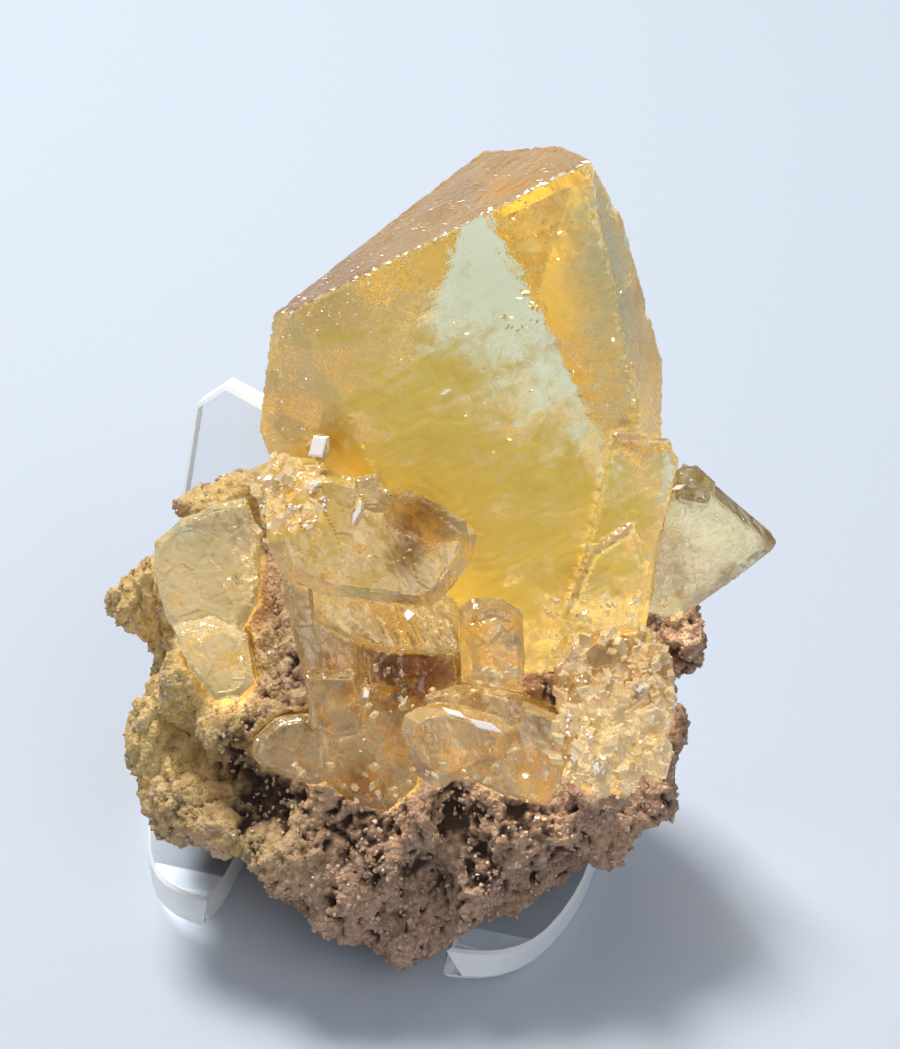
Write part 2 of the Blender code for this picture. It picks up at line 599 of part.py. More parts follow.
def roughen(made):
    """Give the matrix its knobs and press in its hollows."""
    hollows = [(seen(*place), reach * MM, depth * MM) for place, reach, depth in HOLLOWS]
    form = bmesh.new()
    form.from_mesh(made.data)
    form.normal_update()
    moves = []
    for vert in form.verts:
        push = rough_height(vert.co / MM) * MM
        for place, reach, depth in hollows:
            push -= depth * math.exp(-((vert.co - place).length / reach) ** 2)
        moves.append(vert.normal * push)
    for vert, move in zip(form.verts, moves):
        vert.co += move
        vert.co.z = max(vert.co.z, (SHEET + GAP) * MM)
    form.to_mesh(made.data)
    form.free()


def thin_out(made):
    """Mend the roughened skin's folds and bring it down to facets."""
    fuse(made)
    step = made.modifiers.new("facets", "DECIMATE")
    step.ratio = KEPT_SHARE
    settle(made)


def build():
    """Make every piece in place."""
    clear_scene()
    parts = new_collection("barite_specimen")
    tools = new_collection("cutters")
    golden = new_material("golden_barite", (0.90, 0.62, 0.16), 0.12, 0.8, 1.64)
    amber = new_material("amber_barite", (0.80, 0.52, 0.22), 0.18, 0.7, 1.64)
    pale = new_material("pale_barite", (0.86, 0.78, 0.50), 0.22, 0.5, 1.64)
    rock = new_material("matrix_rock", (0.46, 0.32, 0.22), 0.9)
    acrylic = new_material("clear_acrylic", (0.94, 0.96, 0.97), 0.05, 1.0, 1.49)

    groups = (
        ("barite_main", main_crystal_solids(), golden, main_crystal_chips()),
        ("barite_front_blades", front_blade_solids(), golden, ()),
        ("barite_right_wedge", right_wedge_solids(), amber, ()),
        ("barite_left", left_solids(), pale, ()),
        ("barite_stub", stub_solids(), amber, ()),
        ("barite_lower_left", lower_left_solids(), amber, ()),
        ("barite_lower_right", lower_right_solids(), amber, ()),
        ("barite_druse", druse_solids(), pale, ()),
    )
    room = easel("easel_room", GAP, tools)
    room.hide_render = True
    room.display_type = "WIRE"
    finished = []
    for name, solids, material, chips in groups:
        made = crystal_group(name, solids, parts, tools, material, chips)
        combine(made, room, "DIFFERENCE")
        for number, corners in enumerate(finished):
            combine(made, cutter(f"{name}_clear_{number}", corners, tools), "DIFFERENCE")
        clean(made)
        finished += [grown(corners, GAP) for corners in solids]

    matrix = fused_matrix(parts)
    roughen(matrix)
    thin_out(matrix)
    for number, corners in enumerate(finished):
        combine(matrix, cutter(f"matrix_seat_{number}", corners, tools), "DIFFERENCE")
    combine(matrix, room, "DIFFERENCE")
    clean(matrix)
    matrix.data.materials.clear()
    matrix.data.materials.append(rock)

    stand = easel("acrylic_stand", 0.0, parts)
    stand.data.materials.append(acrylic)
    for tool in list(tools.objects):
        bpy.data.objects.remove(tool, do_unlink=True)


build()
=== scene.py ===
"""The looks of a golden barite specimen on its porous matrix, held by a clear acrylic easel.

The crystals and the rock start from the frame's solids, are cut fine and get their growth
steps, pits, chips and grains as real shape. Places on the front are given as an eye sees
them that looks down on it: u to the right, v up and w towards the eye, in millimetres.
"""

import math
import random

import bmesh
import bpy
import numpy as np
from mathutils import Matrix, Vector, noise
from mathutils.bvhtree import BVHTree


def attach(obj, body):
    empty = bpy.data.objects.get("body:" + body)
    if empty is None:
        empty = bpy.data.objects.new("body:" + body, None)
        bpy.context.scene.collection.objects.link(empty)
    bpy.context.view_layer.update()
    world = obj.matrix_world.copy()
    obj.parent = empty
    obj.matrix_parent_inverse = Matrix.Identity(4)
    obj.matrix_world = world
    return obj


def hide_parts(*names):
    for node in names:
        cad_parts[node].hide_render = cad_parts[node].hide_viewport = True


MM = 0.001

# The eye that the front's places are given for
EYE_TILT = math.radians(40)
EYE_DISTANCE = 260.0
EYE_CENTRE = Vector((6.1, -1.3, 38.5))
EYE_UP = Vector((0.0, math.sin(EYE_TILT), math.cos(EYE_TILT)))
EYE_TOWARDS = Vector((0.0, -math.cos(EYE_TILT), math.sin(EYE_TILT)))
LENS = 89.2

# The lights: place and size in millimetres, power and colour
KEY = {"place": (-180, 260, 620), "size": 200, "power": 4.6, "colour": (1.0, 0.97, 0.93)}
FILL = {"place": (260, -420, 480), "size": 420, "power": 1.1, "colour": (0.97, 0.98, 1.0)}
SKY_COLOUR = (0.82, 0.88, 1.0)
SKY_STRENGTH = 0.3
FLOOR_REACH = 2.0

# How strongly each clear stuff bends light
BARITE_IOR = 1.64
BREAK_IOR = 1.3
SUGAR_IOR = 1.6
ACRYLIC_IOR = 1.49

# Face sizes of the fine skins, in millimetres
FINE = 0.3
FINER = 0.18
ROCK_VOXEL = 0.42

# At an edge, the skin and the solid's nearest face agree by less than this cosine
EDGE_FACING = 0.985

# Edges sharper than these angles in degrees aren't shaded smooth
CRYSTAL_SHARP = 24
FLAKE_SHARP = 10
STAND_SHARP = 30
NEVER_SHARP = 180

# The pale colour on the crystals' sharp edges: partly the whitish scatter of chipped edges, partly a
# painted highlight along the lit edges and ridge
CHIP_AND_HIGHLIGHT_COLOUR = (0.95, 0.86, 0.62)

# The greyish mauve-brown painted sheen on the large crystal's upper left face: a grazing reflection
# painted into its colour
PAINTED_SHEEN_COLOUR = (0.37, 0.245, 0.145)

# A pale grey-green tint painted in the large crystal's upper right part for the blue backdrop seen
# through the clear crystal; it also makes that part hazier
PAINTED_BACKDROP_TINT = (0.58, 0.62, 0.34)

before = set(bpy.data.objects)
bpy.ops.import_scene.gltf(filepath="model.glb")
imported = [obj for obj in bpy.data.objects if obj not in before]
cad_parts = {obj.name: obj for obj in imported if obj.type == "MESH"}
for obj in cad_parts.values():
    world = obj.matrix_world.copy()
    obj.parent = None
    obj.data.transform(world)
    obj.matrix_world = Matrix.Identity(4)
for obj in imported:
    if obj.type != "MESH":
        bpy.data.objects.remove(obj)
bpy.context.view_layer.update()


def seen(u, v, w):
    """A point as the eye sees it, in metres."""
    near = 1 - w / EYE_DISTANCE
    point = EYE_CENTRE + Vector((u * near, 0, 0)) + EYE_UP * v * near + EYE_TOWARDS * w
    return point * MM


def as_seen(point):
    """Where the eye sees a point given in metres: u and v."""
    away = point / MM - EYE_CENTRE
    near = 1 - away.dot(EYE_TOWARDS) / EYE_DISTANCE
    return away.x / near, away.dot(EYE_UP) / near


def eye_place():
    """Where the eye and the camera are."""
    return (EYE_CENTRE + EYE_TOWARDS * EYE_DISTANCE) * MM


def heading(line):
    """The direction from a line's first end to its last, each as the eye sees it."""
    return seen(*line[1]) - seen(*line[0])


def smooth(low, high, value):
    """0 below low, 1 above high and a soft step between them."""
    share = min(max((value - low) / (high - low), 0.0), 1.0)
    return share * share * (3 - 2 * share)


def spots(u, v, places):
    """The sum of soft round spots (u, v, reach, amount) at a place on the front."""
    total = 0.0
    for spot_u, spot_v, reach, amount in places:
        total += amount * math.exp(-((u - spot_u) ** 2 + (v - spot_v) ** 2) / reach ** 2)
    return total


def add_object(name, mesh, material):
    """A new object in the scene, riding on the one body."""
    made = bpy.data.objects.new(name, mesh)
    bpy.context.scene.collection.objects.link(made)
    mesh.materials.append(material)
    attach(made, "root")
    return made


def solid_form(node):
    """A node's solid as a welded form, without the normals it was stored with."""
    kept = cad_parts[node].data
    form = bmesh.new()
    corners = [form.verts.new(vert.co) for vert in kept.vertices]
    for face in kept.polygons:
        form.faces.new([corners[index] for index in face.vertices])
    bmesh.ops.remove_doubles(form, verts=form.verts[:], dist=1e-6)
    form.normal_update()
    return form


def fused_form(node, voxel):
    """A node's solid as one even closed skin of small faces, sized in millimetres."""
    plain = finish_mesh(solid_form(node), node, NEVER_SHARP)
    source = bpy.data.objects.new(node + "_source", plain)
    bpy.context.scene.collection.objects.link(source)
    step = source.modifiers.new("fuse", "REMESH")
    step.mode = "VOXEL"
    step.voxel_size = voxel * MM
    depsgraph = bpy.context.evaluated_depsgraph_get()
    fused = bpy.data.meshes.new_from_object(source.evaluated_get(depsgraph))
    bpy.data.objects.remove(source, do_unlink=True)
    form = bmesh.new()
    form.from_mesh(fused)
    form.normal_update()
    return form


def barite_nodes():
    """The names of the crystals' nodes."""
    return [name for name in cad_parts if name.startswith("barite")]


def skin_tree(names):
    """A tree that finds the nearest spot on some nodes' skins."""
    corners = []
    faces = []
    for name in names:
        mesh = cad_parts[name].data
        first = len(corners)
        corners += [vert.co for vert in mesh.vertices]
        faces += [[first + index for index in face.vertices] for face in mesh.polygons]
    return BVHTree.FromPolygons(corners, faces)


def store(mesh, name, values):
    """Keep one number for each point of a mesh, for its material to read."""
    kept = mesh.attributes.new(name, "FLOAT", "POINT")
    kept.data.foreach_set("value", np.array(values, np.float32))


def finish_mesh(form, name, sharp):
    """Turn a form into a mesh, smooth but for edges sharper than an angle in degrees."""
    mesh = bpy.data.meshes.new(name)
    form.to_mesh(mesh)
    form.free()
    mesh.shade_smooth()
    mesh.set_sharp_from_angle(angle=math.radians(sharp))
    return mesh


# Materials

# The direction that most crystals' growth lines run in
UPRIGHT = (0, 0, 1)


def new_material(name):
    """A material with a Principled shader and its output."""
    material = bpy.data.materials.new(name)
    material.use_nodes = True
    return material, material.node_tree, material.node_tree.nodes["Principled BSDF"]


def add(tree, kind, **values):
    """A node with some of its settings and inputs given by name."""
    node = tree.nodes.new(kind)
    for key, value in values.items():
        if key in node.inputs:
            node.inputs[key].default_value = value
        else:
            setattr(node, key, value)
    return node


def place(tree, stretch=1.0, along=UPRIGHT):
    """Places on the object, drawn out along a direction where the stretch is below 1."""
    coordinates = tree.nodes.new("ShaderNodeTexCoord")
    turn = Vector(along).rotation_difference(Vector(UPRIGHT)).to_euler()
    turned = add(tree, "ShaderNodeMapping", Rotation=turn)
    drawn = add(tree, "ShaderNodeMapping", Scale=(1, 1, stretch))
    tree.links.new(coordinates.outputs["Object"], turned.inputs["Vector"])
    tree.links.new(turned.outputs["Vector"], drawn.inputs["Vector"])
    return drawn.outputs["Vector"]


def noise_of(tree, spot, size, detail=3.0, rough=0.55, distortion=0.0):
    """Soft noise with features of a size in millimetres, from 0 to 1."""
    node = add(tree, "ShaderNodeTexNoise", Scale=1 / (size * MM), Detail=detail,
               Roughness=rough, Distortion=distortion)
    tree.links.new(spot, node.inputs["Vector"])
    return node.outputs["Fac"]


def cells_of(tree, spot, size):
    """Distances in cells of a size in millimetres."""
    node = add(tree, "ShaderNodeTexVoronoi", Scale=1 / (size * MM))
    tree.links.new(spot, node.inputs["Vector"])
    return node.outputs["Distance"]


def facets_of(tree, spot, size):
    """Small flat faces of a size in millimetres: each one's tone, and their tilted heights."""
    node = add(tree, "ShaderNodeTexVoronoi", Scale=1 / (size * MM))
    tree.links.new(spot, node.inputs["Vector"])
    away = add(tree, "ShaderNodeVectorMath", operation="SUBTRACT")
    tree.links.new(spot, away.inputs[0])
    tree.links.new(node.outputs["Position"], away.inputs[1])
    tilt = add(tree, "ShaderNodeVectorMath", operation="SUBTRACT")
    tilt.inputs[1].default_value = (0.5, 0.5, 0.5)
    tree.links.new(node.outputs["Color"], tilt.inputs[0])
    rise = add(tree, "ShaderNodeVectorMath", operation="DOT_PRODUCT")
    tree.links.new(away.outputs["Vector"], rise.inputs[0])
    tree.links.new(tilt.outputs["Vector"], rise.inputs[1])
    tone = add(tree, "ShaderNodeSeparateColor")
    tree.links.new(node.outputs["Color"], tone.inputs[0])
    return tone.outputs[0], sums(tree, "MULTIPLY", rise.outputs["Value"], 1 / (size * MM))


def remap(tree, value, low, high, to_low=0.0, to_high=1.0):
    """A value's range moved to another, and held inside it."""
    node = tree.nodes.new("ShaderNodeMapRange")
    node.interpolation_type = "SMOOTHSTEP"
    for index, number in enumerate((low, high, to_low, to_high), start=1):
        node.inputs[index].default_value = number
    tree.links.new(value, node.inputs[0])
    return node.outputs[0]


def sums(tree, operation, first, second, third=None):
    """Arithmetic on two or three values, each an output or a number."""
    node = tree.nodes.new("ShaderNodeMath")
    node.operation = operation
    for index, value in enumerate((first, second, third)):
        if value is None:
            continue
        if isinstance(value, (int, float)):
            node.inputs[index].default_value = value
        else:
            tree.links.new(value, node.inputs[index])
    return node.outputs[0]


def swing(tree, onto, value, middle, amount=1.0):
    """Add to a value how far another one is off its middle, times an amount."""
    return sums(tree, "MULTIPLY_ADD", sums(tree, "SUBTRACT", value, middle), amount, onto)


def blend_colours(tree, share, first, second):
    """One colour going over into another."""
    node = add(tree, "ShaderNodeMix", data_type="RGBA")
    tree.links.new(share, node.inputs[0])
    for index, colour in ((6, first), (7, second)):
        if isinstance(colour, tuple):
            node.inputs[index].default_value = (*colour, 1.0)
        else:
            tree.links.new(colour, node.inputs[index])
    return node.outputs[2]


def kept_value(tree, name):
    """A number that the mesh keeps for each of its points."""
    return add(tree, "ShaderNodeAttribute", attribute_name=name).outputs["Fac"]


def bumps(tree, height, strength, distance):
    """A bumpy normal from a height, over a distance in millimetres."""
    node = add(tree, "ShaderNodeBump", Strength=strength, Distance=distance * MM)
    tree.links.new(height, node.inputs["Height"])
    return node.outputs["Normal"]


def absorb(tree, colour, density):
    """Let the stuff take colour away from the light that runs through it."""
    depth = add(tree, "ShaderNodeVolumeAbsorption", Color=(*colour, 1.0), Density=density)
    tree.links.new(depth.outputs["Volume"], tree.nodes["Material Output"].inputs["Volume"])


# Each kind of barite: its colours, the light it lets through, how much it absorbs per metre
# and the size of its small faces in millimetres
BARITES = {
    "golden_barite": {"clear": (0.93, 0.94, 0.76), "milky": (0.97, 0.70, 0.13),
                      "stained": (0.50, 0.29, 0.07), "through": (0.985, 0.955, 0.58),
                      "density": 22, "facet": 3.0},
    "golden_blades": {"clear": (0.96, 0.88, 0.62), "milky": (0.64, 0.43, 0.11),
                      "stained": (0.34, 0.18, 0.02), "through": (0.98, 0.90, 0.40),
                      "density": 70, "facet": 1.6},
    "amber_barite": {"clear": (0.94, 0.82, 0.55), "milky": (0.52, 0.34, 0.12),
                     "stained": (0.30, 0.15, 0.02), "through": (0.975, 0.89, 0.45),
                     "density": 55, "facet": 2.2},
    "lemon_plates": {"clear": (0.95, 0.91, 0.68), "milky": (0.70, 0.53, 0.22),
                     "stained": (0.42, 0.28, 0.08), "through": (0.98, 0.94, 0.60),
                     "density": 50, "facet": 1.8},
    "pale_barite": {"clear": (0.97, 0.92, 0.74), "milky": (0.76, 0.57, 0.27),
                    "stained": (0.45, 0.26, 0.08), "through": (0.98, 0.92, 0.58),
                    "density": 60, "facet": 1.2},
}


def crystal_material(name, along=UPRIGHT):
    """Barite: clear where it is pure, milky where it is clouded, and stained in places."""
    kind = BARITES[name]
    material, tree, shader = new_material(name)
    spot = place(tree)
    cloud = noise_of(tree, spot, 3.2, detail=4.0, rough=0.6, distortion=0.4)
    wisps = noise_of(tree, place(tree, 0.3, along), 1.3, detail=4.0, rough=0.65, distortion=0.3)
    mottle = noise_of(tree, spot, 0.7, rough=0.7)
    tone, tilted = facets_of(tree, place(tree, 0.5, along), kind["facet"])
    milk = swing(tree, kept_value(tree, "milk"), cloud, 0.5, 1.5)
    milk = swing(tree, milk, wisps, 0.5, 0.7)
    milk = swing(tree, milk, tone, 0.5, 0.25)
    milk = remap(tree, swing(tree, milk, mottle, 0.5, 0.9), 0.0, 1.0)
    stain = swing(tree, kept_value(tree, "stain"), cloud, 0.58)
    stain = remap(tree, swing(tree, stain, tone, 0.5, 0.3), 0.0, 0.8)
    haze_and_painted_tint = sums(tree, "MULTIPLY", kept_value(tree, "haze_and_painted_tint"), remap(tree, wisps, 0.3, 0.65, 0.6, 1.0))
    # Chipped edges, painted pale as a highlight along every sharp edge
    chipped = remap(tree, noise_of(tree, spot, 1.1, rough=0.65), 0.45, 0.7, 0.0, 0.5)
    edge = sums(tree, "MULTIPLY", kept_value(tree, "edge"), chipped)
    colour = blend_colours(tree, milk, kind["clear"], kind["milky"])
    colour = blend_colours(tree, stain, colour, kind["stained"])
    # Painted sheen: the mauve-brown reflection on the large crystal's upper left face and its sheen
    # spots
    colour = blend_colours(tree, kept_value(tree, "painted_sheen"), colour, PAINTED_SHEEN_COLOUR)
    # Painted tint: grey-green where the backdrop would show through the clear upper right part, with
    # haze
    colour = blend_colours(tree, haze_and_painted_tint, colour, PAINTED_BACKDROP_TINT)
    colour = blend_colours(tree, edge, colour, CHIP_AND_HIGHLIGHT_COLOUR)
    tree.links.new(colour, shader.inputs["Base Color"])
    milk = sums(tree, "MULTIPLY_ADD", edge, 0.5, sums(tree, "MULTIPLY_ADD", haze_and_painted_tint, 0.8, milk))
    tree.links.new(remap(tree, milk, 0.0, 1.0, 0.98, 0.12), shader.inputs["Transmission Weight"])
    grain = noise_of(tree, spot, 0.35, detail=2.0)
    frost = sums(tree, "MULTIPLY", grain, sums(tree, "ADD", kept_value(tree, "frost"), 0.12))
    tree.links.new(remap(tree, frost, 0.03, 0.7, 0.02, 0.4), shader.inputs["Roughness"])
    lines = noise_of(tree, place(tree, 0.03, along), 0.28, detail=2.0)
    lines = sums(tree, "MULTIPLY", lines, sums(tree, "ADD", kept_value(tree, "painted_sheen"), 0.5))
    height = sums(tree, "MULTIPLY_ADD", grain, 0.4, lines)
    slope = sums(tree, "ADD", kept_value(tree, "frost"), 0.4)
    height = sums(tree, "MULTIPLY_ADD", tilted, slope, height)
    tree.links.new(bumps(tree, height, 0.5, 0.09), shader.inputs["Normal"])
    shader.inputs["IOR"].default_value = BARITE_IOR
    absorb(tree, kind["through"], kind["density"])
    return material


# The rock's colours, each from its deeper to its lighter shade
BROWN = ((0.25, 0.14, 0.085), (0.40, 0.235, 0.15))
BROWN_GRAIN = (0.60, 0.41, 0.27)
CREAM_CRUST = ((0.58, 0.36, 0.10), (0.90, 0.67, 0.30))
RUST_FILM = ((0.22, 0.085, 0.025), (0.42, 0.19, 0.06))
ROOT_GLOW = (0.72, 0.46, 0.13)
# Painted shade: the dark in the pores, the hollows and between the grains
PAINTED_SHADE_COLOUR = (0.045, 0.02, 0.01)


def rock_material():
    """Porous rock: pinkish brown sugar, cream crust, rust in the hollows, and painted shade in pores,
    hollows and darker spots.
    """
    material, tree, shader = new_material("matrix_rock")
    spot = place(tree)
    broad = noise_of(tree, spot, 7.0, detail=4.0, rough=0.6, distortion=0.3)
    fine = noise_of(tree, spot, 0.9, detail=5.0, rough=0.7)
    sugar = cells_of(tree, spot, 0.42)
    grainy = remap(tree, fine, 0.3, 0.7)
    brown = blend_colours(tree, remap(tree, broad, 0.35, 0.65), *BROWN)
    brown = blend_colours(tree, remap(tree, fine, 0.35, 0.7), brown, BROWN_GRAIN)
    cream = blend_colours(tree, grainy, *CREAM_CRUST)
    rust = blend_colours(tree, grainy, *RUST_FILM)
    rusty = swing(tree, kept_value(tree, "rust"), broad, 0.55, 1.2)
    painted_shade = swing(tree, kept_value(tree, "painted_shade"), fine, 0.5, 0.5)
    colour = blend_colours(tree, kept_value(tree, "cream"), brown, cream)
    colour = blend_colours(tree, remap(tree, rusty, 0.0, 0.8), colour, rust)
    colour = blend_colours(tree, kept_value(tree, "root"), colour, ROOT_GLOW)
    # Painted shade darkens the hollows, the gaps between grains and the darker spots
    colour = blend_colours(tree, remap(tree, painted_shade, 0.25, 1.0), colour, PAINTED_SHADE_COLOUR)
    tree.links.new(colour, shader.inputs["Base Color"])
    tree.links.new(remap(tree, fine, 0.3, 0.8, 0.95, 0.45), shader.inputs["Roughness"])
    height = sums(tree, "MULTIPLY_ADD", fine, 1.2, sums(tree, "MULTIPLY", sugar, -0.8))
    tree.links.new(bumps(tree, height, 0.7, 0.35), shader.inputs["Normal"])
    return material


def sugar_material():
    """The tiny translucent grains that crust the rock."""
    material, tree, shader = new_material("rock_sugar")
    broad = noise_of(tree, place(tree), 2.5)
    colour = blend_colours(tree, remap(tree, broad, 0.35, 0.7), (0.62, 0.40, 0.24), (0.90, 0.72, 0.52))
    tree.links.new(colour, shader.inputs["Base Color"])
    tree.links.new(remap(tree, broad, 0.3, 0.7, 0.15, 0.4), shader.inputs["Roughness"])
    shader.inputs["Transmission Weight"].default_value = 0.35
    shader.inputs["IOR"].default_value = SUGAR_IOR
    return material


def acrylic_material(name, polish, clear):
    """Acrylic with faint wear: its least and most roughness, and how clear it is."""
    material, tree, shader = new_material(name)
    wear = noise_of(tree, place(tree, 0.15), 0.6)
    tree.links.new(remap(tree, wear, 0.45, 0.75, *polish), shader.inputs["Roughness"])
    tint = blend_colours(tree, remap(tree, wear, 0.3, 0.7), (0.93, 0.96, 0.98), (0.97, 0.985, 0.99))
    tree.links.new(tint, shader.inputs["Base Color"])
    shader.inputs["Transmission Weight"].default_value = clear
    shader.inputs["IOR"].default_value = ACRYLIC_IOR
    absorb(tree, (0.86, 0.95, 1.0), 6.0)
    return material


def floor_material():
    """Pale paper with a faint grain."""
    material, tree, shader = new_material("pale_floor")
    grain = noise_of(tree, place(tree), 1.2)
    colour = blend_colours(tree, grain, (0.56, 0.62, 0.71), (0.58, 0.64, 0.73))
    tree.links.new(colour, shader.inputs["Base Color"])
    shader.inputs["Roughness"].default_value = 0.85
    return material


# Crystals

# Sizes of the chips and of the longer nicks in the crystals' edges, in millimetres
CHIP_SIZE = 0.7
NICK_SIZE = 2.3


def look_of(step, pit, line, facet, wear, along=UPRIGHT, facet_size=2.0, step_size=4.5):
    """A face's relief: heights in millimetres, the facets' slope and the lines' direction."""
    return {"step": step, "step_size": step_size, "pit": pit, "pit_size": 0.9, "line": line,
            "line_size": 0.45, "facet": facet, "facet_size": facet_size, "wear": wear,
            "along": Vector(along).normalized()}


def worn_height(spot, look, rough, top):
    """How far a face stands out at a spot in millimetres: growth steps, pits and lines."""
    hill = 4 * noise.fractal(spot / look["step_size"], 1.0, 2.0, 2)
    tread = math.floor(hill) + smooth(0.78, 1.0, hill - math.floor(hill))
    height = look["step"] * tread
    pit = noise.noise(spot / look["pit_size"])
    height -= look["pit"] * smooth(0.25, 0.5, pit)
    along = look["along"]
    across = spot - along * spot.dot(along) * 0.94
    height += look["line"] * (1 + 1.5 * top) * noise.noise(across / look["line_size"])
    cell = (spot - along * spot.dot(along) * 0.5) / look["facet_size"]
    middle = noise.voronoi(cell)[1][0]
    tilt = noise.cell_vector(middle * 9.0) - Vector((0.5, 0.5, 0.5))
    height += look["facet"] * (0.3 + rough) * tilt.dot(cell - middle) * look["facet_size"]
    return height


def bitten_height(spot, wear):
    """How far an edge is worn back at a spot in millimetres."""
    chips = max(noise.noise(spot / CHIP_SIZE), 0.0)
    nicks = max(noise.noise(spot / NICK_SIZE), 0.0)
    return -0.01 - wear * (chips + 0.6 * nicks)


def make_crystals(node, material, look, milk_at, stain_at, frost_at, voxel=FINER):
    """A group of crystals from its solid: fine mesh, relief and worn edges."""
    form = fused_form(node, voxel)
    solid = solid_form(node)
    flats = BVHTree.FromBMesh(solid)
    solid.free()
    moves = []
    kept = {"milk": [], "stain": [], "frost": [], "edge": [], "painted_sheen": [], "haze_and_painted_tint": []}
    for vert in form.verts:
        spot = vert.co / MM
        u, v = as_seen(vert.co)
        sharp = vert.normal.dot(flats.find_nearest(vert.co)[1]) < EDGE_FACING
        # The large crystal's upper left face, found by the way it points: milkier, rougher and given
        # the painted sheen
        top = smooth(0.55, 0.8, vert.normal.dot(look["top"])) if "top" in look else 0.0
        rough = frost_at(u, v)
        push = bitten_height(spot, look["wear"]) if sharp else worn_height(spot, look, rough, top)
        moves.append(vert.normal * push * MM)
        kept["milk"].append(milk_at(u, v) + 0.5 * top)
        kept["stain"].append(stain_at(u, v))
        kept["frost"].append(rough + 0.3 * top)
        # Sharp edges get the chipped edges' colour with its painted highlight
        kept["edge"].append(float(sharp))
        kept["painted_sheen"].append(min(0.85 * top + spots(u, v, look.get("film", ())), 1.0))
        kept["haze_and_painted_tint"].append(min(spots(u, v, look.get("haze_and_painted_tint", ())), 1.0) * (1 - top))
    for vert, move in zip(form.verts, moves):
        vert.co += move
    mesh = finish_mesh(form, node + "_crystals", CRYSTAL_SHARP)
    for name, values in kept.items():
        store(mesh, name, values)
    made = add_object(node + "_crystals", mesh, material)
    made.visible_shadow = False
    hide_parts(node)


# The large crystal's ridge and a place on its back edge, as the eye sees them
RIDGE = ((-16.0, 21.4, 15.2), (14.2, 36.6, 18.7))
BACK_EDGE = (5.2, 39.0, -1.0)

# Where the large crystal is milky, stained, rough, given painted sheen, and hazy with painted tint, in
# soft spots
MAIN_MILK = (
    (2.0, -3.0, 15.0, 1.05),
    (-2.0, 12.5, 9.0, 0.4),
    (-12.0, 20.0, 6.5, 0.5),
    (-14.0, 8.0, 7.0, 0.4),
    (18.0, 0.0, 7.0, 0.4),
    (14.0, 24.0, 8.0, -0.35),
    (3.0, 25.0, 6.0, -0.2),
)
MAIN_STAIN = (
    (18.0, 22.5, 2.4, 0.55),
    (19.5, 17.5, 2.0, 0.5),
    (12.0, -9.0, 5.0, 0.3),
    (17.8, 8.6, 1.8, 0.8),
    (-13.0, 9.0, 4.0, 0.3),
)
MAIN_FROST = (
    (-16.5, 12.0, 6.0, 0.6),
    (-12.0, 21.0, 5.0, 0.45),
    (17.8, 8.6, 2.4, 0.7),
    (19.0, 1.0, 5.0, 0.3),
)
# Soft spots of painted sheen on the large crystal's upper left faces
MAIN_PAINTED_SHEEN = (
    (-12.5, 22.5, 4.5, 0.35),
    (-16.5, 12.0, 4.0, 0.3),
)
# Soft spots of haze with the painted backdrop tint, in the large crystal's upper right part
MAIN_HAZE_AND_PAINTED_TINT = (
    (15.5, 26.5, 4.5, 0.8),
    (16.5, 19.0, 4.5, 0.7),
    (13.5, 32.5, 3.0, 0.6),
    (18.5, 12.0, 4.0, 0.4),
    (4.0, 24.0, 5.0, 0.25),
)


def main_crystal():
    """The large wedge and its blade, milky below and clear at the top right."""
    ridge = heading(RIDGE)
    look = look_of(step=0.05, pit=0.03, line=0.025, facet=0.05, wear=0.3, along=ridge,
                   facet_size=3.0, step_size=8.0)
    look["top"] = ridge.cross(heading((RIDGE[0], BACK_EDGE))).normalized()
    look["film"] = MAIN_PAINTED_SHEEN
    look["haze_and_painted_tint"] = MAIN_HAZE_AND_PAINTED_TINT
    make_crystals("barite_main", crystal_material("golden_barite", ridge), look,
                  lambda u, v: 0.1 + spots(u, v, MAIN_MILK),
                  lambda u, v: spots(u, v, MAIN_STAIN),
                  lambda u, v: 0.05 + spots(u, v, MAIN_FROST), FINE)


def front_blades():
    """The fan of blades at the large crystal's left foot."""
    fan = heading(((-6.0, -7.0, 13), (-2.0, -12.8, 13)))
    look = look_of(step=0.03, pit=0.03, line=0.03, facet=0.3, wear=0.1, along=fan, facet_size=1.6)
    rough = ((-15.0, 2.5, 5.5, 0.7), (-4.5, -3.5, 2.2, 0.7), (-8.5, -5.5, 2.0, 0.5))
    olive = ((-3.0, 1.0, 3.6, 0.65), (-4.5, -3.3, 1.8, 0.8), (-3.5, -10.5, 4.5, 0.3))
    make_crystals("barite_front_blades", crystal_material("golden_blades", fan), look,
                  lambda u, v: 0.45 + spots(u, v, rough) - spots(u, v, olive) * 0.5,
                  lambda u, v: spots(u, v, olive),
                  lambda u, v: 0.1 + spots(u, v, rough))


def right_wedge(material):
    """The clear wedge that points out to the right."""
    down = heading(((28.0, 1.0, 6), (29.0, -5.0, 6)))
    look = look_of(step=0.02, pit=0.01, line=0.03, facet=0.06, wear=0.15, along=down)
    tan = ((20.5, -3.5, 4.0, 0.5), (33.0, -1.8, 1.5, 0.4))
    rim = ((33.0, -2.0, 2.2, 1.0), (29.0, -6.0, 2.0, 0.9), (25.5, -8.0, 2.0, 0.7),
           (24.0, 3.5, 2.0, 0.7), (30.0, 1.0, 1.6, 0.6))
    make_crystals("barite_right_wedge", material, look,
                  lambda u, v: 0.05 + spots(u, v, tan),
                  lambda u, v: spots(u, v, rim),
                  lambda u, v: 0.04)


def left_plates():
    """The pale plates on the left."""
    look = look_of(step=0.05, pit=0.06, line=0.02, facet=0.22, wear=0.2, facet_size=2.6)
    make_crystals("barite_left", crystal_material("lemon_plates"), look,
                  lambda u, v: 0.6,
                  lambda u, v: 0.0,
                  lambda u, v: 0.35)


